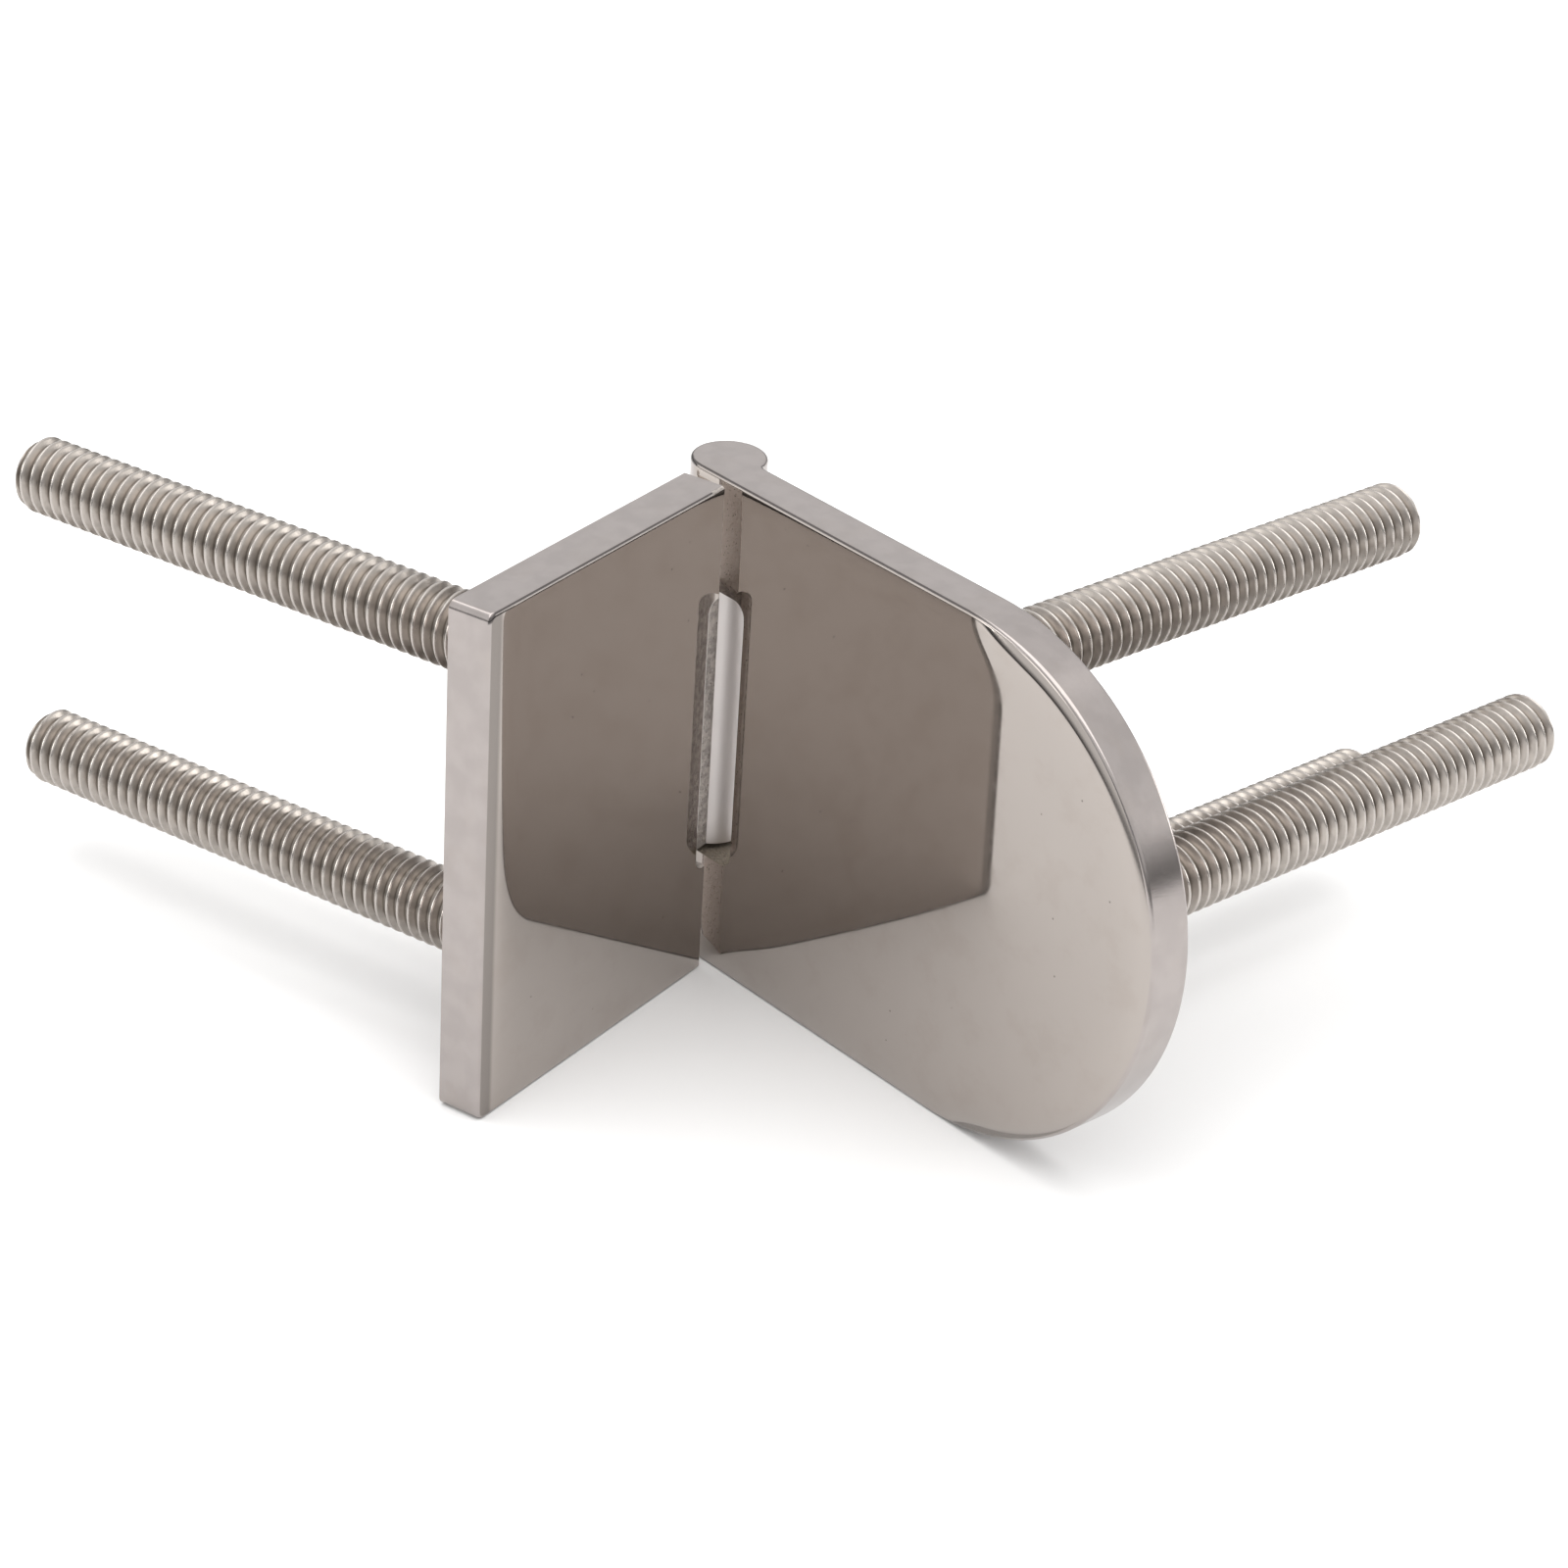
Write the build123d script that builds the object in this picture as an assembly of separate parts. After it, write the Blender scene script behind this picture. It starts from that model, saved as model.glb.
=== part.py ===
from build123d import *
import os

# Flush hatch hinge with a concealed pin and five threaded studs.
# The hinge axis is the Z axis. The round leaf reaches along +X with its polished
# face towards -Y and its studs towards +Y. The square leaf is drawn in the closed
# position, in line with the round leaf along -X, and is then swung open.
# All lengths are in millimetres, all angles in degrees.

# Both leaves
leaf_height = 40.0
leaf_thickness = 3.5
face_edge_radius = 0.3

# Round leaf: from the hinge axis to where its half-round end begins
round_straight = 28.3

# Square leaf: from the hinge axis to its far edge
square_reach = 31.6
square_corner_radius = 0.7

# Barrel: the knuckles are flush with the polished faces and stand proud behind
barrel_radius = 2.8
outer_knuckle = 9.0
knuckle_side_gap = 0.35
web_fillet = 0.8

# Free room round the barrel
end_wall_gap = 1.8
pocket_gap = 2.9
pocket_corner_radius = 1.2
groove_gap = 2.8
groove_corner_radius = 0.8
groove_edge_radius = 0.2
neck_above_axis = 1.4

# Pin, held fast in the outer knuckles and free in the centre one
pin_radius = 1.5
pin_running_gap = 0.05
pin_cover = 1.6
pin_chamfer = 0.3

# Threaded studs: the core is seated in a blind hole in the back of the leaf, and the
# thread, drawn at its outer size, runs out just short of the leaf
stud_radius = 2.9
stud_core_radius = 2.45
stud_length = 47.3
stud_seat = 2.0
stud_run_out = 0.3
countersink_gap = 0.1
stud_chamfer = 0.75
stud_pair_spacing = 23.0
round_pair_x = 23.0
tip_stud_to_end = 10.0
square_pair_x = 21.2

# Opening between the two polished faces as the hinge stands
open_angle = 75.0

# Places that follow from the sizes above
face_y = -barrel_radius
back_y = face_y + leaf_thickness
mid_height = leaf_height / 2
end_radius = leaf_height / 2
tip_stud_x = round_straight + end_radius - tip_stud_to_end
upper_stud_z = mid_height + stud_pair_spacing / 2
lower_stud_z = mid_height - stud_pair_spacing / 2
countersink_radius = stud_radius + countersink_gap
countersink_depth = countersink_radius - stud_core_radius
pocket_height = leaf_height - 2 * outer_knuckle
centre_knuckle = pocket_height - 2 * knuckle_side_gap
knuckle_bottom = outer_knuckle + knuckle_side_gap
end_wall = barrel_radius + end_wall_gap
pocket_wall = barrel_radius + pocket_gap
groove_wall = barrel_radius + groove_gap
swing = 180.0 - open_angle

# Cutting shapes run this far past the surface that they open
OVERCUT = 1.0

# Two places this near to each other count as one
CLOSE = 1e-4


def plate(outline):
    """Raise an outline, drawn in X and Z, from the back of a leaf to its face."""
    return extrude(Plane.XZ.offset(-back_y) * outline, leaf_thickness)


def upright_cylinder(radius, bottom, height):
    """A cylinder on the hinge axis, from its lower end upwards."""
    return extrude(Plane.XY.offset(bottom) * Circle(radius), height)


def in_plane(edges, y):
    """Those edges that lie in the plane of a leaf's face or back."""
    def lies_there(edge):
        box = edge.bounding_box()
        return abs(box.min.Y - y) < CLOSE and abs(box.max.Y - y) < CLOSE
    return edges.filter_by(lies_there)


def between(edges, low_x, high_x):
    """Those edges whose middle lies between two places along X."""
    return edges.filter_by(lambda edge: low_x < edge.center().X < high_x)


def web_edges(solid):
    """The hollow corners where the barrel stands proud of the back of a leaf."""
    upright = solid.edges().filter_by(Axis.Z)
    return between(in_plane(upright, back_y), -barrel_radius, barrel_radius)


def stud_hole(x, z):
    """A blind hole in the back of a leaf, countersunk where the thread starts."""
    floor = Plane(origin=(x, back_y - stud_seat, z), z_dir=(0, 1, 0))
    hole = extrude(floor * Circle(stud_core_radius), stud_seat)
    lift = Plane(origin=(x, back_y - countersink_depth, z), z_dir=(0, 1, 0))
    from_below = (Align.CENTER, Align.CENTER, Align.MIN)
    mouth = Cone(stud_core_radius, countersink_radius, countersink_depth, align=from_below)
    return hole + lift * mouth


def stud(x, z):
    """A stud from its core, seated in the hole, to its chamfered free end."""
    floor = Plane(origin=(x, back_y - stud_seat, z), z_dir=(0, 1, 0))
    core = extrude(floor * Circle(stud_core_radius), stud_seat + stud_run_out)
    foot = Plane(origin=(x, back_y + stud_run_out, z), z_dir=(0, 1, 0))
    rod = extrude(foot * Circle(stud_radius), stud_length - stud_run_out)
    free_end = rod.edges().sort_by(Axis.Y)[-1]
    return core + chamfer(free_end, stud_chamfer)


def round_stud_places():
    """Two studs near the hinge and one towards the round end, as (x, z)."""
    return {
        "round_leaf_upper_stud": (round_pair_x, upper_stud_z),
        "round_leaf_lower_stud": (round_pair_x, lower_stud_z),
        "round_leaf_tip_stud": (tip_stud_x, mid_height),
    }


def square_stud_places():
    """Two studs, one above the other, as (x, z) in the closed position."""
    return {
        "square_leaf_upper_stud": (-square_pair_x, upper_stud_z),
        "square_leaf_lower_stud": (-square_pair_x, lower_stud_z),
    }


def round_leaf():
    """Plate with a half-round end and two outer knuckles with a blind pin bore."""
    straight = Pos(round_straight / 2, mid_height) * Rectangle(round_straight, leaf_height)
    tip = Pos(round_straight, mid_height) * Circle(end_radius)
    body = plate(straight + tip)
    body += upright_cylinder(barrel_radius, 0, leaf_height)
    body = fillet(web_edges(body), web_fillet)
    rim = in_plane(body.edges(), face_y).filter_by(Axis.Z, reverse=True)
    body = fillet(rim, face_edge_radius)

    pocket_width = pocket_wall + barrel_radius + OVERCUT
    pocket = Pos(pocket_wall - pocket_width / 2, mid_height) * Rectangle(pocket_width, pocket_height)
    pocket = fillet(pocket.vertices().group_by(Axis.X)[-1], pocket_corner_radius)
    body -= extrude(Plane.XZ * pocket, barrel_radius + OVERCUT, both=True)

    body -= upright_cylinder(pin_radius, pin_cover, leaf_height - 2 * pin_cover)
    for x, z in round_stud_places().values():
        body -= stud_hole(x, z)
    return body


def square_leaf():
    """Plate with square corners, a groove, a neck and the centre knuckle."""
    width = square_reach - end_wall
    outline = Pos(-end_wall - width / 2, mid_height) * Rectangle(width, leaf_height)
    outline = fillet(outline.vertices().group_by(Axis.X)[0], square_corner_radius)
    body = plate(outline)
    rim = between(in_plane(body.edges(), face_y), -square_reach - CLOSE, -end_wall - CLOSE)
    body = fillet(rim, face_edge_radius)

    groove_width = groove_wall - end_wall + OVERCUT
    groove = Pos(-groove_wall + groove_width / 2, mid_height) * Rectangle(groove_width, pocket_height)
    groove = fillet(groove.vertices().group_by(Axis.X)[0], groove_corner_radius)
    groove_depth = barrel_radius - neck_above_axis
    body -= extrude(Plane.XZ.offset(barrel_radius) * groove, -groove_depth)
    rim = between(in_plane(body.edges(), face_y), -groove_wall - CLOSE, -end_wall - CLOSE)
    body = fillet(rim, groove_edge_radius)

    neck_depth = neck_above_axis + back_y
    neck = Pos(-groove_wall / 2, back_y - neck_depth / 2) * Rectangle(groove_wall, neck_depth)
    knuckle = upright_cylinder(barrel_radius, knuckle_bottom, centre_knuckle)
    body += extrude(Plane.XY.offset(knuckle_bottom) * neck, centre_knuckle) + knuckle
    body = fillet(web_edges(body), web_fillet)

    body -= upright_cylinder(pin_radius + pin_running_gap, 0, leaf_height)
    for x, z in square_stud_places().values():
        body -= stud_hole(x, z)
    return body


def hinge_pin():
    """The concealed pin, closed in by the ends of the outer knuckles."""
    pin = upright_cylinder(pin_radius, pin_cover, leaf_height - 2 * pin_cover)
    return chamfer(pin.edges().filter_by(GeomType.CIRCLE), pin_chamfer)


def swung(shape):
    """Swing a piece of the square leaf from closed to the open position."""
    return shape.rotate(Axis.Z, swing)


parts = {
    "round_leaf": round_leaf(),
    "square_leaf": swung(square_leaf()),
    "hinge_pin": hinge_pin(),
}
for name, (x, z) in round_stud_places().items():
    parts[name] = stud(x, z)
for name, (x, z) in square_stud_places().items():
    parts[name] = swung(stud(x, z))

os.makedirs("parts", exist_ok=True)
for name, shape in parts.items():
    shape.label = name
    export_step(shape, f"parts/{name}.step")
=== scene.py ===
import math
from collections import namedtuple

import bpy
import bmesh
import numpy as np
from mathutils import Matrix, Vector


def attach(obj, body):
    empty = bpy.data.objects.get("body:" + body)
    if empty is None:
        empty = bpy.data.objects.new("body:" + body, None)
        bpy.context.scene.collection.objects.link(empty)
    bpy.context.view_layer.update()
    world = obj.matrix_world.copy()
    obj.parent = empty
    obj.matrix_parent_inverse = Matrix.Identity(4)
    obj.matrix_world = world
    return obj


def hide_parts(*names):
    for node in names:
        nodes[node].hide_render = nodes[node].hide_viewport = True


# Flush hatch hinge: two polished cast leaves, a concealed pin and five threaded studs.
# Blender works in metres. Sizes are in millimetres where no comment says otherwise, in
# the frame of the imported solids: the hinge axis is Z, the round leaf lies along +X.

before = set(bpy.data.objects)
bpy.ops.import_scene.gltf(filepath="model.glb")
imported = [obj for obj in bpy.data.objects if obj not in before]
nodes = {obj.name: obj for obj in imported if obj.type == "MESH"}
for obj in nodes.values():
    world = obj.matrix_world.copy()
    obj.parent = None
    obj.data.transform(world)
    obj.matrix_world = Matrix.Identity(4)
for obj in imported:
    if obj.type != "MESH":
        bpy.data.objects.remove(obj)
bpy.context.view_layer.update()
MM = 0.001

# The square leaf is drawn closed, along -X, and stands swung by this angle.
SWING = math.radians(105.0)

# Leaves. Walls left as cast lie nearer to the hinge axis than WALL_REACH.
HEIGHT = 40.0
BARREL_R = 2.8
FACE_Y = -BARREL_R
BACK_Y = 0.7
OUTER_KNUCKLE = 9.0
ROUND_STRAIGHT = 28.3
SQUARE_REACH = 31.6
WALL_REACH = 5.95

# Studs
STUD_R = 2.9
STUD_CORE_R = 2.45
STUD_LENGTH = 49.3
STUD_SEAT = 2.0
STUD_CHAMFER = 0.75

# Thread: its turns, the share of each that is root or crest, and how finely it is drawn
THREAD_PITCH = 1.0
THREAD_DEPTH = 0.52
ROOT_SHARE = 0.19
CREST_SHARE = 0.13
THREAD_ROWS = 16
THREAD_SIDES = 44
SPARE_TURNS = 2
SHARP_CORNER = math.radians(36)

# Points of the thread closer than the first are joined, and edges shorter than the
# second are taken out, both in metres
JOINED = 2e-6
SLIVER = 1e-6

# Where the studs stand, as (x, z), the square leaf's in the closed position
ROUND_STUDS = {
    "round_leaf_upper_stud": (23.0, 31.5),
    "round_leaf_lower_stud": (23.0, 8.5),
    "round_leaf_tip_stud": (38.3, 20.0),
}
SQUARE_STUDS = {
    "square_leaf_upper_stud": (-21.2, 31.5),
    "square_leaf_lower_stud": (-21.2, 8.5),
}

# Colours of the steel
MIRROR_COLOUR = (0.408, 0.370, 0.344)
SATIN_COLOUR = (0.385, 0.350, 0.337)
TURNED_COLOUR = (0.840, 0.800, 0.785)
STAIN_COLOUR = (0.355, 0.312, 0.280)
CAST_COLOUR = (0.480, 0.440, 0.412)
# Browner and darker tone for the round leaf's upward cast faces: the brown is the cast's own,
# the darkness a painted shade against the light from above
BROWN_AND_SHADE_COLOUR = (0.270, 0.235, 0.190)
CREST_COLOUR = (0.490, 0.455, 0.425)
FLANK_COLOUR = (0.425, 0.388, 0.355)
# Painted shade: the dark colour of the thread's roots
ROOT_SHADE_COLOUR = (0.230, 0.206, 0.183)

# Roughness. A pair is its value where a texture is 0 and where it is 1.
SATIN_ROUGH = (0.14, 0.24)
MIRROR_ROUGH = (0.030, 0.060)
TURNED_ROUGH = (0.50, 0.56)
CAST_ROUGH = (0.42, 0.70)
FLANK_ROUGH = (0.24, 0.36)
DRAWN_ROUGH = (0.18, 0.34)
WORN_ROUGH = 0.20
CREST_ROUGH = 0.24

# Polishing rounds a face over at its edges: over how many millimetres, and how steeply
RIM_ROLL = (6.0, 0.34)
ARC_ROLL = (2.4, 0.95)
FAR_EDGE_ROLL = (6.4, 0.65)
TOP_AND_FOOT_ROLL = (1.4, 0.30)

# The half-round end's own rounding sets in over this stretch past the straight run
ARC_BEGINS = (1.0, 6.0)

# The round leaf's face is crowned. Its lean grows with the square of the way past the
# start, measured in crown lengths, and a little with the height.
CROWN_START = 8.0
CROWN_LENGTH = 28.0
CROWN_AT_FOOT = 0.0407
CROWN_PER_MM = 0.00067

# Limits of the masks. A pair is where a mask is 0 and where it is 1. Three values are
# where it begins, where it ends and how soft both borders are.
# These are for the way a surface faces: 1 is straight along an axis, 0 is across it.
FACES_FRONT = (0.90, 0.985)
FACES_FRONT_PARTLY = (0.2, 0.4)
FACES_UP_OR_DOWN = (0.4, 0.6)
FACES_ALONG_AXIS = (0.5, 0.9)
# Which way the rounded top edge faces where it is painted dark as a reflection
PAINTED_EDGE_FACES_UP = (0.08, 0.90, 0.04)

# These are for the place of a surface, in millimetres
AT_FACE = (-FACE_Y - 0.10, -FACE_Y - 0.02)
OFF_BARREL = (BARREL_R + 0.01, BARREL_R + 0.05)
FRONT_HALF = (-0.5, 0.5)
OFF_WALLS = (WALL_REACH, WALL_REACH + 0.05)
AT_BACK = (0.1, 0.6)
PAST_STRAIGHT = (ROUND_STRAIGHT, ROUND_STRAIGHT + 4.0)
# The worn strip by the square leaf's far edge, which is also painted darker as shade
WORN_AND_SHADED_STRIP = (1.1, 1.6)
POCKET_SPAN = (OUTER_KNUCKLE - 0.1, HEIGHT - OUTER_KNUCKLE + 0.1, 0.05)
WHOLE_SPAN = (0.02, HEIGHT - 0.02, 0.01)

# And this is for how far the round leaf's rim leans over
WORN_LEAN = (0.05, 0.35)

# Textures: scale, detail, and roughness where it isn't the usual one. A stretch is how
# much finer or coarser a texture is along X, Y and Z.
GRAIN = (9.0, 4.0)
SMUDGE = (0.30, 4.0, 0.62)
BRUSHING = (1.6, 3.0)
BRUSHING_STRETCH = (1.0, 1.0, 14.0)
LUMPS = (3.2, 5.0, 0.6)
CLOUD = (0.5, 4.0)
MOTTLE = (1.7, 4.0, 0.7)
THREAD_GRAIN = (5.0, 4.0)
THREAD_PATCH = (0.80, 4.0)
PIN_RINGS = (1.2, 3.0)
PIN_RINGS_STRETCH = (0.4, 0.4, 12.0)

# Spots: scale, and how large their core and their edge are
PITS = (0.45, 0.022, 0.045)
PORES = (2.6, 0.06, 0.24)

# Where a texture's patches begin and where they are full
SMUDGE_LIMITS = (0.47, 0.70)
CLOUD_LIMITS = (0.35, 0.65)
MOTTLE_LIMITS = (0.40, 0.62)
PATCH_LIMITS = (0.40, 0.62)

# How much a stain or the painted dark edge shows, and how dark or light a shade of a colour
# is
SATIN_STAIN = 0.20
MIRROR_STAIN = 0.28
# The rounded top edge is painted as a dark line, a painted reflection of the dark horizon
PAINTED_EDGE_STRENGTH = 0.75
PAINTED_EDGE_DARKNESS = 0.1
PIT_SHADE = 0.45
PORE_SHADE = 0.35
SATIN_SHADES = (0.96, 1.04)
CAST_SHADES = (0.74, 1.14)
FLANK_SHADES = (0.90, 1.08)
PIN_SHADES = (1.15, 1.4)

# Relief drawn by bump: strength, and height in metres
BRUSHING_RELIEF = (0.12, 0.00002)
LUMP_RELIEF = (0.9, 0.00025)
THREAD_RELIEF = (0.18, 0.00003)
PIN_RELIEF = (0.2, 0.00002)

# Limits of the thread's finishes: radii of the crests and of the roots, where shade is
# painted, and height of the cut end
CREST_LIMITS = (STUD_R - 0.09, STUD_R - 0.03)
ROOT_LIMITS = (STUD_R - THREAD_DEPTH + 0.02, STUD_R - THREAD_DEPTH + 0.14)
CUT_END_LIMITS = (STUD_LENGTH - 0.02, STUD_LENGTH - 0.01)

# Floor: a sheet of white paper, its size in metres
FLOOR_SIZE = 6.0
PAPER_COLOUR = (0.90, 0.90, 0.90, 1.0)
PAPER_ROUGH = 0.9
PAPER_SHINE = 0.2

# Air: its strength at the horizon and above it, and between which heights it changes,
# where 0 is level and 1 is straight up
AIR_COLOUR = (0.98, 0.98, 0.98, 1.0)
HORIZON_GLOW = 0.12
CEILING_GLOW = 1.10
AIR_RISE = (0.02, 0.40)

# Soft boxes: name, place and size in metres, power in watts, colour
WHITE_LIGHT = (1.0, 0.99, 0.98)
WARM_LIGHT = (1.0, 0.99, 0.97)
SOFT_BOXES = (
    ("overhead", (0.05, -0.05, 1.1), (1.3, 1.3), 9.0, WHITE_LIGHT),
    ("left_side", (-0.60, -0.64, 0.27), (0.50, 0.22), 1.4, WARM_LIGHT),
    ("right_side", (0.40, 0.78, 0.22), (0.50, 0.22), 1.4, WARM_LIGHT),
)

# Camera: its place and the limits of its sight in metres, its turn in degrees, its
# lens and sensor in millimetres
CAMERA_PLACE = (0.2001402, -0.1763583, 0.1603092)
CAMERA_TURN = (61.08836, -3.25604, 49.24259)
CAMERA_LENS = 93.006
CAMERA_SENSOR = 36.0
CAMERA_NEAR = 0.01
CAMERA_FAR = 20.0


# Materials
class Graph:
    """A short way to write shader node trees."""

    def __init__(self, name):
        self.material = bpy.data.materials.new(name)
        self.material.use_nodes = True
        self.tree = self.material.node_tree
        self.tree.nodes.clear()
        self.surface = self.node("ShaderNodeBsdfPrincipled")
        out = self.node("ShaderNodeOutputMaterial")
        self.link(self.surface.outputs["BSDF"], out.inputs["Surface"])

    def node(self, kind, **settings):
        made = self.tree.nodes.new(kind)
        for key, value in settings.items():
            setattr(made, key, value)
        return made

    def link(self, source, target):
        self.tree.links.new(source, target)

    def put(self, value, socket):
        """Join a socket to a value, a colour or the output of another node."""
        if isinstance(value, bpy.types.NodeSocket):
            self.link(value, socket)
        elif isinstance(value, tuple):
            socket.default_value = (*value, 1.0)
        else:
            socket.default_value = value

    def place(self):
        """The surface point in the object's own millimetres."""
        found = self.node("ShaderNodeTexCoord")
        return self.scaled(found.outputs["Object"], (1 / MM, 1 / MM, 1 / MM))

    def math(self, operation, a, b=0.0, clamp=False):
        made = self.node("ShaderNodeMath", operation=operation, use_clamp=clamp)
        self.put(a, made.inputs[0])
        self.put(b, made.inputs[1])
        return made.outputs[0]

    def times(self, *values):
        result = values[0]
        for value in values[1:]:
            result = self.math("MULTIPLY", result, value)
        return result

    def plus(self, a, b):
        return self.math("ADD", a, b)

    def no(self, value):
        """The opposite of a mask."""
        return self.math("SUBTRACT", 1.0, value, clamp=True)

    def distance(self, a, b):
        """How far (a, b) lies from the origin of its plane."""
        return self.math("SQRT", self.plus(self.times(a, a), self.times(b, b)))

    def step(self, value, low, high):
        """0 below low, 1 above high, smooth between."""
        made = self.node("ShaderNodeMapRange", interpolation_type="SMOOTHSTEP")
        self.put(value, made.inputs["Value"])
        made.inputs["From Min"].default_value = low
        made.inputs["From Max"].default_value = high
        return made.outputs["Result"]

    def between(self, value, low, high, soft):
        """1 from low to high and 0 outside, with soft borders."""
        rise = self.step(value, low - soft, low + soft)
        fall = self.step(value, high - soft, high + soft)
        return self.math("SUBTRACT", rise, fall, clamp=True)

    def mix(self, factor, a, b):
        made = self.node("ShaderNodeMix", data_type="FLOAT")
        self.put(factor, made.inputs[0])
        self.put(a, made.inputs[2])
        self.put(b, made.inputs[3])
        return made.outputs[0]

    def mix_colour(self, factor, a, b):
        made = self.node("ShaderNodeMix", data_type="RGBA")
        self.put(factor, made.inputs[0])
        self.put(a, made.inputs[6])
        self.put(b, made.inputs[7])
        return made.outputs[2]

    def shades(self, factor, colour, low, high):
        """A colour that goes from one shade of itself to another."""
        return self.mix_colour(factor, shade(colour, low), shade(colour, high))

    def noise(self, vector, scale, detail=3.0, roughness=0.5):
        made = self.node("ShaderNodeTexNoise")
        self.put(vector, made.inputs["Vector"])
        made.inputs["Scale"].default_value = scale
        made.inputs["Detail"].default_value = detail
        made.inputs["Roughness"].default_value = roughness
        return made.outputs["Fac"]

    def dots(self, vector, scale, core, edge):
        """Small round spots, 1 in their middle and 0 outside."""
        made = self.node("ShaderNodeTexVoronoi", feature="F1")
        self.put(vector, made.inputs["Vector"])
        made.inputs["Scale"].default_value = scale
        return self.no(self.step(made.outputs["Distance"], core, edge))

    def scaled(self, vector, size):
        made = self.node("ShaderNodeMapping")
        self.put(vector, made.inputs["Vector"])
        made.inputs["Scale"].default_value = size
        return made.outputs["Vector"]

    def parts(self, vector):
        made = self.node("ShaderNodeSeparateXYZ")
        self.put(vector, made.inputs[0])
        return made.outputs[0], made.outputs[1], made.outputs[2]

    def bump(self, height, strength, distance, normal=None):
        made = self.node("ShaderNodeBump")
        self.put(height, made.inputs["Height"])
        self.put(strength, made.inputs["Strength"])
        made.inputs["Distance"].default_value = distance
        if normal is not None:
            self.link(normal, made.inputs["Normal"])
        return made.outputs["Normal"]

    def turn(self, vector, angle):
        made = self.node("ShaderNodeVectorRotate", rotation_type="Z_AXIS")
        self.link(vector, made.inputs["Vector"])
        made.inputs["Angle"].default_value = angle
        return made.outputs["Vector"]

    def leaning(self, lean):
        """The surface normal, leant over by a vector in the object's own axes."""
        outward = self.node("ShaderNodeVectorTransform", vector_type="VECTOR")
        outward.convert_from, outward.convert_to = "OBJECT", "WORLD"
        self.link(lean, outward.inputs[0])
        total = self.node("ShaderNodeVectorMath", operation="ADD")
        self.link(self.node("ShaderNodeNewGeometry").outputs["Normal"], total.inputs[0])
        self.link(outward.outputs[0], total.inputs[1])
        unit = self.node("ShaderNodeVectorMath", operation="NORMALIZE")
        self.link(total.outputs[0], unit.inputs[0])
        return unit.outputs[0]

    def finish(self, colour, roughness, normal):
        self.put(colour, self.surface.inputs["Base Color"])
        self.put(roughness, self.surface.inputs["Roughness"])
        self.put(normal, self.surface.inputs["Normal"])
        self.surface.inputs["Metallic"].default_value = 1.0
        return self.material


def shade(colour, factor):
    return tuple(channel * factor for channel in colour)


def rolled(g, gap, width, slope):
    """How far polishing has rounded a face over at a distance from its edge."""
    share = g.no(g.times(gap, 1.0 / width))
    return g.times(share, share, share, slope)


def round_face_lean(g, x, z):
    """How the round leaf's face leans along X and Z, and where its rim is worn."""
    past = g.math("MAXIMUM", g.plus(x, -ROUND_STRAIGHT), 0.0)
    up = g.plus(z, -HEIGHT / 2)
    radius = g.distance(past, up)
    gap = g.math("SUBTRACT", HEIGHT / 2, radius)
    arc = g.times(rolled(g, gap, *ARC_ROLL), g.step(past, *ARC_BEGINS))
    rim = g.plus(rolled(g, gap, *RIM_ROLL), arc)
    outward = g.math("DIVIDE", rim, radius)
    along = g.math("MAXIMUM", g.times(g.plus(x, -CROWN_START), 1.0 / CROWN_LENGTH), 0.0)
    crown = g.plus(CROWN_AT_FOOT, g.times(z, CROWN_PER_MM))
    lean_x = g.plus(g.times(outward, past), g.times(along, along, crown))
    return lean_x, g.times(outward, up), g.step(arc, *WORN_LEAN)


def square_face_lean(g, x, z):
    """How the square leaf's face leans along X and Z, and its worn edge strip, which is also
    painted darker as shade.
    """
    gap = g.plus(x, SQUARE_REACH)
    far = rolled(g, gap, *FAR_EDGE_ROLL)
    top = rolled(g, g.math("SUBTRACT", HEIGHT, z), *TOP_AND_FOOT_ROLL)
    foot = rolled(g, z, *TOP_AND_FOOT_ROLL)
    return g.times(far, -1.0), g.math("SUBTRACT", top, foot), g.no(g.step(gap, *WORN_AND_SHADED_STRIP))


# What differs between the leaves: the angle that each stands swung by, the way it
# points along X when closed, how its face leans and the shade painted where that is
# worn, whether it carries the turned centre knuckle, how far along Z its cast walls reach,
# and the axis that some cast walls face along with the light and shade painted on them
Leaf = namedtuple("Leaf", "swing side lean worn_shade turned cast_span wall_axis wall_colour")
ROUND_LEAF = Leaf(
    swing=0.0,
    side=1.0,
    lean=round_face_lean,
    worn_shade=1.0,
    turned=False,
    cast_span=POCKET_SPAN,
    # Faces that look up are painted browner and darker: the brown is the cast's own, the
    # darkness a painted shade
    wall_axis=2,
    wall_colour=BROWN_AND_SHADE_COLOUR,
)
SQUARE_LEAF = Leaf(
    swing=SWING,
    side=-1.0,
    lean=square_face_lean,
    # Painted shade: the worn strip by the far edge is painted this much darker
    worn_shade=0.60,
    turned=True,
    cast_span=WHOLE_SPAN,
    # Walls facing along X are painted 1.7 times lighter, a painted light in the slot
    wall_axis=0,
    wall_colour=shade(CAST_COLOUR, 1.7),
)


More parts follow.
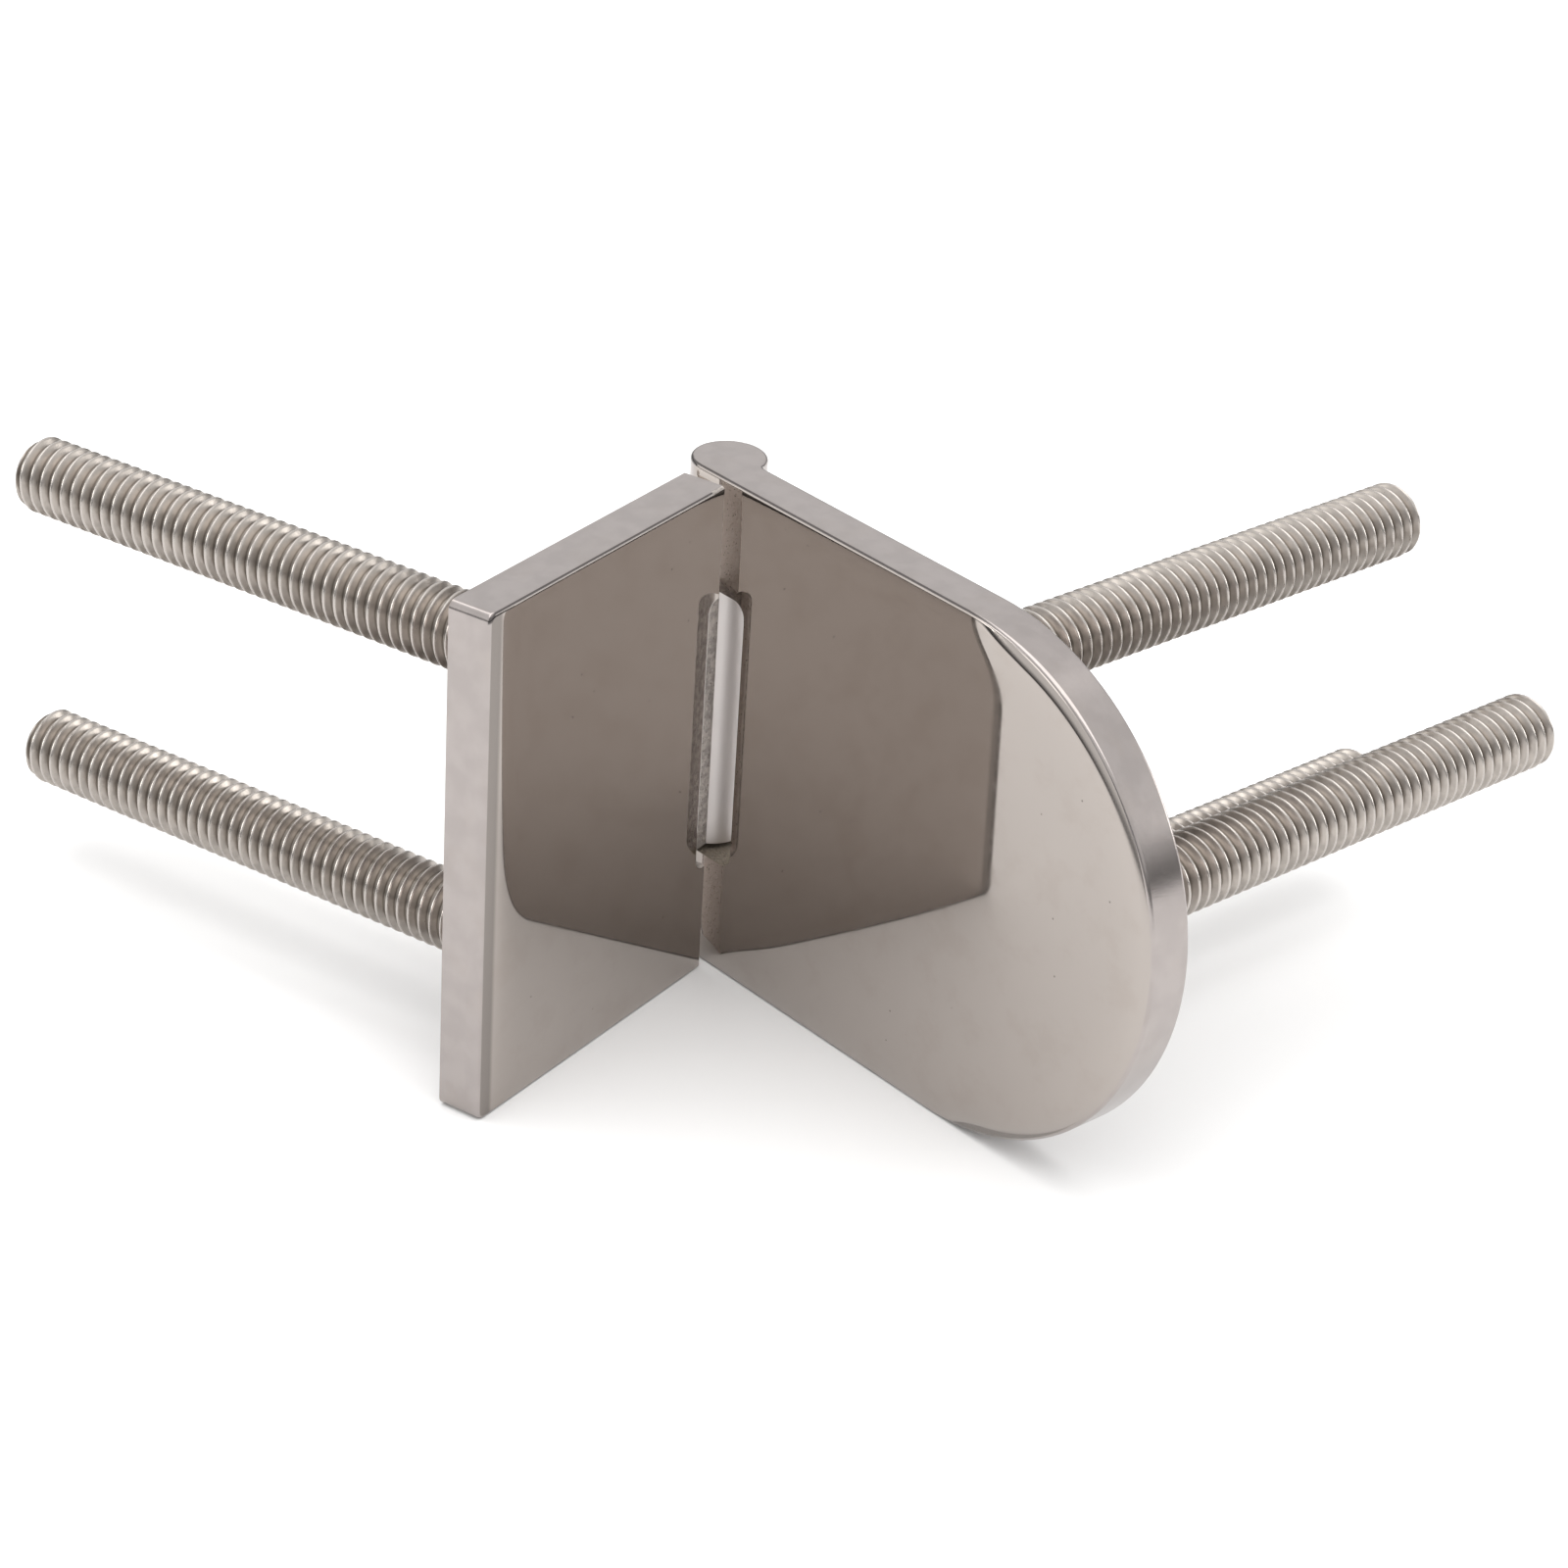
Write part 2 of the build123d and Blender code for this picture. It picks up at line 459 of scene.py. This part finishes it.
def leaf_masks(g, leaf, place, facing):
    """Where a leaf is polished, where it is turned and where it is left as cast."""
    x, y, z = place
    front = g.times(facing[1], -1.0)
    polished = g.times(g.step(front, *FACES_FRONT), g.step(g.times(y, -1.0), *AT_FACE))
    turned = 0.0
    if leaf.turned:
        barrel = g.no(g.step(g.distance(x, y), *OFF_BARREL))
        upright = g.no(g.step(g.math("ABSOLUTE", facing[2]), *FACES_UP_OR_DOWN))
        half = g.step(g.times(y, -1.0), *FRONT_HALF)
        turned = g.times(barrel, upright, half, g.no(polished))
    near = g.no(g.step(g.times(x, leaf.side), *OFF_WALLS))
    span = g.between(z, *leaf.cast_span)
    inner = g.no(g.step(y, *AT_BACK))
    as_cast = g.times(near, span, inner, g.no(polished), g.no(turned))
    return polished, turned, as_cast


def cast_colour(g, leaf, point, facing):
    """Mottled and porous, with light and shade painted on walls that face along one axis."""
    mottle = g.step(g.noise(point, *MOTTLE), *MOTTLE_LIMITS)
    colour = g.shades(mottle, CAST_COLOUR, *CAST_SHADES)
    # Painted light and shade on walls facing along one axis: a browner painted shade on the
    # round leaf's upward faces, a painted light on the square leaf's walls facing along X
    painted_lighting_mask = g.step(facing[leaf.wall_axis], *FACES_ALONG_AXIS)
    colour = g.mix_colour(painted_lighting_mask, colour, leaf.wall_colour)
    return g.mix_colour(g.dots(point, *PORES), colour, shade(CAST_COLOUR, PORE_SHADE))


def painted_dark_edge(g, x, facing):
    """The rounded edge along the top of a face, painted as a dark line up to the half-round
    end: a painted reflection of the dark horizon.
    """
    straight = g.no(g.step(x, *PAST_STRAIGHT))
    front = g.step(g.times(facing[1], -1.0), *FACES_FRONT_PARTLY)
    return g.times(g.between(facing[2], *PAINTED_EDGE_FACES_UP), front, straight)


def leaf_steel(name, leaf):
    """Cast steel: mirror face, satin rim and back, dull walls by the barrel."""
    g = Graph(name)
    point = g.turn(g.place(), -leaf.swing)
    x, y, z = g.parts(point)
    normal = g.node("ShaderNodeTexCoord").outputs["Normal"]
    facing = g.parts(g.turn(normal, -leaf.swing))
    polished, turned, as_cast = leaf_masks(g, leaf, (x, y, z), facing)
    lean_x, lean_z, worn_and_shaded = leaf.lean(g, x, z)

    grain = g.noise(point, *GRAIN)
    lumps = g.noise(point, *LUMPS)
    smudge = g.step(g.noise(point, *SMUDGE), *SMUDGE_LIMITS)
    glossy = g.mix(worn_and_shaded, g.mix(smudge, *MIRROR_ROUGH), WORN_ROUGH)
    rough = g.mix(polished, g.mix(grain, *SATIN_ROUGH), glossy)
    rough = g.mix(turned, rough, g.mix(grain, *TURNED_ROUGH))
    rough = g.mix(as_cast, rough, g.mix(lumps, *CAST_ROUGH))

    cloud = g.step(g.noise(point, *CLOUD), *CLOUD_LIMITS)
    satin = g.shades(cloud, SATIN_COLOUR, *SATIN_SHADES)
    satin = g.mix_colour(g.times(smudge, SATIN_STAIN), satin, STAIN_COLOUR)
    mirror = g.mix_colour(g.times(smudge, MIRROR_STAIN), MIRROR_COLOUR, STAIN_COLOUR)
    # Painted shade: the worn strip by the square leaf's far edge is painted darker; on the
    # round leaf the factor is 1.0, so there it only clears the smudge stain
    mirror = g.mix_colour(worn_and_shaded, mirror, shade(MIRROR_COLOUR, leaf.worn_shade))
    mirror = g.mix_colour(g.dots(point, *PITS), mirror, shade(MIRROR_COLOUR, PIT_SHADE))
    colour = g.mix_colour(polished, satin, mirror)
    # Painted reflection: the rounded top edge is painted dark, as the dark horizon it mirrors
    painted_edge = g.times(painted_dark_edge(g, x, facing), PAINTED_EDGE_STRENGTH)
    colour = g.mix_colour(painted_edge, colour, shade(SATIN_COLOUR, PAINTED_EDGE_DARKNESS))
    colour = g.mix_colour(turned, colour, TURNED_COLOUR)
    colour = g.mix_colour(as_cast, colour, cast_colour(g, leaf, point, facing))

    lean = g.node("ShaderNodeCombineXYZ")
    g.put(g.times(lean_x, polished), lean.inputs[0])
    g.put(g.times(lean_z, polished), lean.inputs[2])
    leant = g.leaning(g.turn(lean.outputs[0], leaf.swing))
    brushing = g.noise(g.scaled(point, BRUSHING_STRETCH), *BRUSHING)
    strength, height = BRUSHING_RELIEF
    raised = g.bump(brushing, g.mix(polished, strength, 0.0), height, leant)
    strength, height = LUMP_RELIEF
    raised = g.bump(lumps, g.times(as_cast, strength), height, raised)
    return g.finish(colour, rough, raised)


def thread_steel(name):
    """Rolled thread: lighter crests, duller flanks and roots painted dark as shade."""
    g = Graph(name)
    point = g.place()
    x, y, z = g.parts(point)
    radius = g.distance(x, y)
    crest = g.step(radius, *CREST_LIMITS)
    root_shade = g.no(g.step(radius, *ROOT_LIMITS))
    grain = g.noise(point, *THREAD_GRAIN)
    patch = g.step(g.noise(point, *THREAD_PATCH), *PATCH_LIMITS)
    flank = g.shades(patch, FLANK_COLOUR, *FLANK_SHADES)
    # Painted shade: the roots are painted dark
    colour = g.mix_colour(root_shade, g.mix_colour(crest, flank, CREST_COLOUR), ROOT_SHADE_COLOUR)
    colour = g.mix_colour(g.step(z, *CUT_END_LIMITS), colour, SATIN_COLOUR)
    rough = g.mix(crest, g.mix(grain, *FLANK_ROUGH), CREST_ROUGH)
    return g.finish(colour, rough, g.bump(grain, *THREAD_RELIEF))


def pin_steel(name):
    """Drawn steel with fine marks round the pin."""
    g = Graph(name)
    rings = g.noise(g.scaled(g.place(), PIN_RINGS_STRETCH), *PIN_RINGS)
    colour = g.shades(rings, SATIN_COLOUR, *PIN_SHADES)
    return g.finish(colour, g.mix(rings, *DRAWN_ROUGH), g.bump(rings, *PIN_RELIEF))


# Leaves and pin
def dress(node, material):
    nodes[node].data.materials.clear()
    nodes[node].data.materials.append(material)


dress("round_leaf", leaf_steel("round_leaf_steel", ROUND_LEAF))
dress("square_leaf", leaf_steel("square_leaf_steel", SQUARE_LEAF))
dress("hinge_pin", pin_steel("pin_steel_drawn"))


# Studs
def thread_rows():
    """Heights of the rows of points along a stud and how deep each one is cut."""
    flank = (1.0 - ROOT_SHARE - CREST_SHARE) / 2
    corners = np.cumsum([0.0, ROOT_SHARE, flank, CREST_SHARE, flank])
    shares = np.arange(THREAD_ROWS) / THREAD_ROWS
    cuts = np.interp(shares, corners, [1.0, 1.0, 0.0, 0.0, 1.0])
    turns = math.ceil(STUD_LENGTH / THREAD_PITCH) + SPARE_TURNS
    row = np.arange(THREAD_ROWS * turns)
    heights = (row // THREAD_ROWS - 1 + shares[row % THREAD_ROWS]) * THREAD_PITCH
    return heights, cuts[row % THREAD_ROWS] * THREAD_DEPTH


def thread_points(heights, cuts):
    """The points of a thread, row by row, clipped to its seat and its chamfered end."""
    angle = np.arange(THREAD_SIDES) / THREAD_SIDES * 2 * math.pi
    z = heights[:, None] + THREAD_PITCH * angle / (2 * math.pi)
    radius = STUD_R - cuts[:, None] + 0 * z
    below = z < STUD_SEAT
    above = z > STUD_LENGTH
    z = np.clip(z, STUD_SEAT, STUD_LENGTH)
    radius = np.minimum(radius, STUD_R - STUD_CHAMFER + (STUD_LENGTH - z))
    radius[below] = STUD_CORE_R
    radius[above] = STUD_R - STUD_CHAMFER
    return np.stack([radius * np.cos(angle), radius * np.sin(angle), z], -1)


def thread_faces(row_count):
    """Faces between neighbouring rows. A row runs on into the one a turn higher."""
    faces = []
    turn = THREAD_ROWS * THREAD_SIDES
    end = THREAD_SIDES - 1
    for row in range(row_count - THREAD_ROWS - 1):
        low, high = row * THREAD_SIDES, (row + 1) * THREAD_SIDES
        for side in range(end):
            faces.append((low + side, low + side + 1, high + side + 1, high + side))
        faces.append((low + end, low + turn, high + turn, high + end))
    return faces


def close_thread(bm):
    """Join the turns, run the core down to its seat and close both ends."""
    bmesh.ops.remove_doubles(bm, verts=bm.verts, dist=JOINED)
    bmesh.ops.dissolve_degenerate(bm, edges=bm.edges, dist=SLIVER)
    loose = [vertex for vertex in bm.verts if not vertex.link_faces]
    bmesh.ops.delete(bm, geom=loose, context="VERTS")
    below = (STUD_SEAT + THREAD_PITCH / 2) * MM
    foot = [edge for edge in bm.edges if edge.is_boundary and edge.verts[0].co.z < below]
    for vertex in bmesh.ops.extrude_edge_only(bm, edges=foot)["geom"]:
        if isinstance(vertex, bmesh.types.BMVert):
            vertex.co.z = 0.0
    bmesh.ops.holes_fill(bm, edges=[edge for edge in bm.edges if edge.is_boundary], sides=0)
    bmesh.ops.recalc_face_normals(bm, faces=bm.faces)


def stud_mesh(name):
    """A helical thread along local +Z, from its seated core to a chamfered end."""
    heights, cuts = thread_rows()
    points = thread_points(heights, cuts).reshape(-1, 3) * MM
    mesh = bpy.data.meshes.new(name)
    mesh.from_pydata(points.tolist(), [], thread_faces(len(heights)))
    bm = bmesh.new()
    bm.from_mesh(mesh)
    close_thread(bm)
    bm.to_mesh(mesh)
    bm.free()
    mesh.shade_smooth()
    mesh.set_sharp_from_angle(angle=SHARP_CORNER)
    return mesh


def place_stud(node, x, z, turn, body, material):
    foot = Vector((x, BACK_Y - STUD_SEAT, z)) * MM
    away = Matrix.Rotation(math.radians(-90), 4, "X")
    made = bpy.data.objects.new(node + "_thread", stud_mesh(node + "_thread"))
    bpy.context.scene.collection.objects.link(made)
    made.matrix_world = Matrix.Rotation(turn, 4, "Z") @ Matrix.Translation(foot) @ away
    made.data.materials.append(material)
    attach(made, body)
    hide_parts(node)


thread = thread_steel("stud_steel_thread")
for stud_name, (stud_x, stud_z) in ROUND_STUDS.items():
    place_stud(stud_name, stud_x, stud_z, 0.0, "round_side", thread)
for stud_name, (stud_x, stud_z) in SQUARE_STUDS.items():
    place_stud(stud_name, stud_x, stud_z, SWING, "square_side", thread)


# Floor and light
bpy.ops.mesh.primitive_plane_add(size=FLOOR_SIZE, location=(0.0, 0.0, 0.0))
floor = bpy.context.object
floor.name = "studio_floor"
paper = Graph("floor_paper")
paper.surface.inputs["Base Color"].default_value = PAPER_COLOUR
paper.surface.inputs["Roughness"].default_value = PAPER_ROUGH
paper.surface.inputs["Specular IOR Level"].default_value = PAPER_SHINE
floor.data.materials.append(paper.material)


def soft_light(name, place, size, power, colour):
    """A soft box that looks at the foot of the hinge."""
    lamp = bpy.data.lights.new(name, "AREA")
    lamp.shape = "RECTANGLE"
    lamp.size, lamp.size_y = size
    lamp.energy = power
    lamp.color = colour
    made = bpy.data.objects.new(name, lamp)
    bpy.context.scene.collection.objects.link(made)
    made.location = place
    made.rotation_euler = (-Vector(place)).to_track_quat("-Z", "Y").to_euler()


for soft_box in SOFT_BOXES:
    soft_light(*soft_box)


def studio_air(horizon, top):
    """Air that is dark at the horizon and bright above it, like a white ceiling."""
    world = bpy.data.worlds.new("studio_air")
    world.use_nodes = True
    tree = world.node_tree
    place = tree.nodes.new("ShaderNodeTexCoord")
    height = tree.nodes.new("ShaderNodeSeparateXYZ")
    ramp = tree.nodes.new("ShaderNodeMapRange")
    ramp.interpolation_type = "SMOOTHSTEP"
    ramp.inputs["From Min"].default_value = AIR_RISE[0]
    ramp.inputs["From Max"].default_value = AIR_RISE[1]
    ramp.inputs["To Min"].default_value = horizon
    ramp.inputs["To Max"].default_value = top
    tree.links.new(place.outputs["Generated"], height.inputs[0])
    tree.links.new(height.outputs["Z"], ramp.inputs["Value"])
    tree.links.new(ramp.outputs["Result"], tree.nodes["Background"].inputs["Strength"])
    tree.nodes["Background"].inputs["Color"].default_value = AIR_COLOUR
    return world


bpy.context.scene.world = studio_air(HORIZON_GLOW, CEILING_GLOW)
bpy.context.scene.view_settings.view_transform = "Standard"

# Camera
lens = bpy.data.cameras.new("photo_camera")
lens.sensor_fit = "HORIZONTAL"
lens.sensor_width = CAMERA_SENSOR
lens.lens = CAMERA_LENS
lens.clip_start = CAMERA_NEAR
lens.clip_end = CAMERA_FAR
camera = bpy.data.objects.new("photo_camera", lens)
bpy.context.scene.collection.objects.link(camera)
camera.location = CAMERA_PLACE
camera.rotation_euler = [math.radians(angle) for angle in CAMERA_TURN]
bpy.context.scene.camera = camera
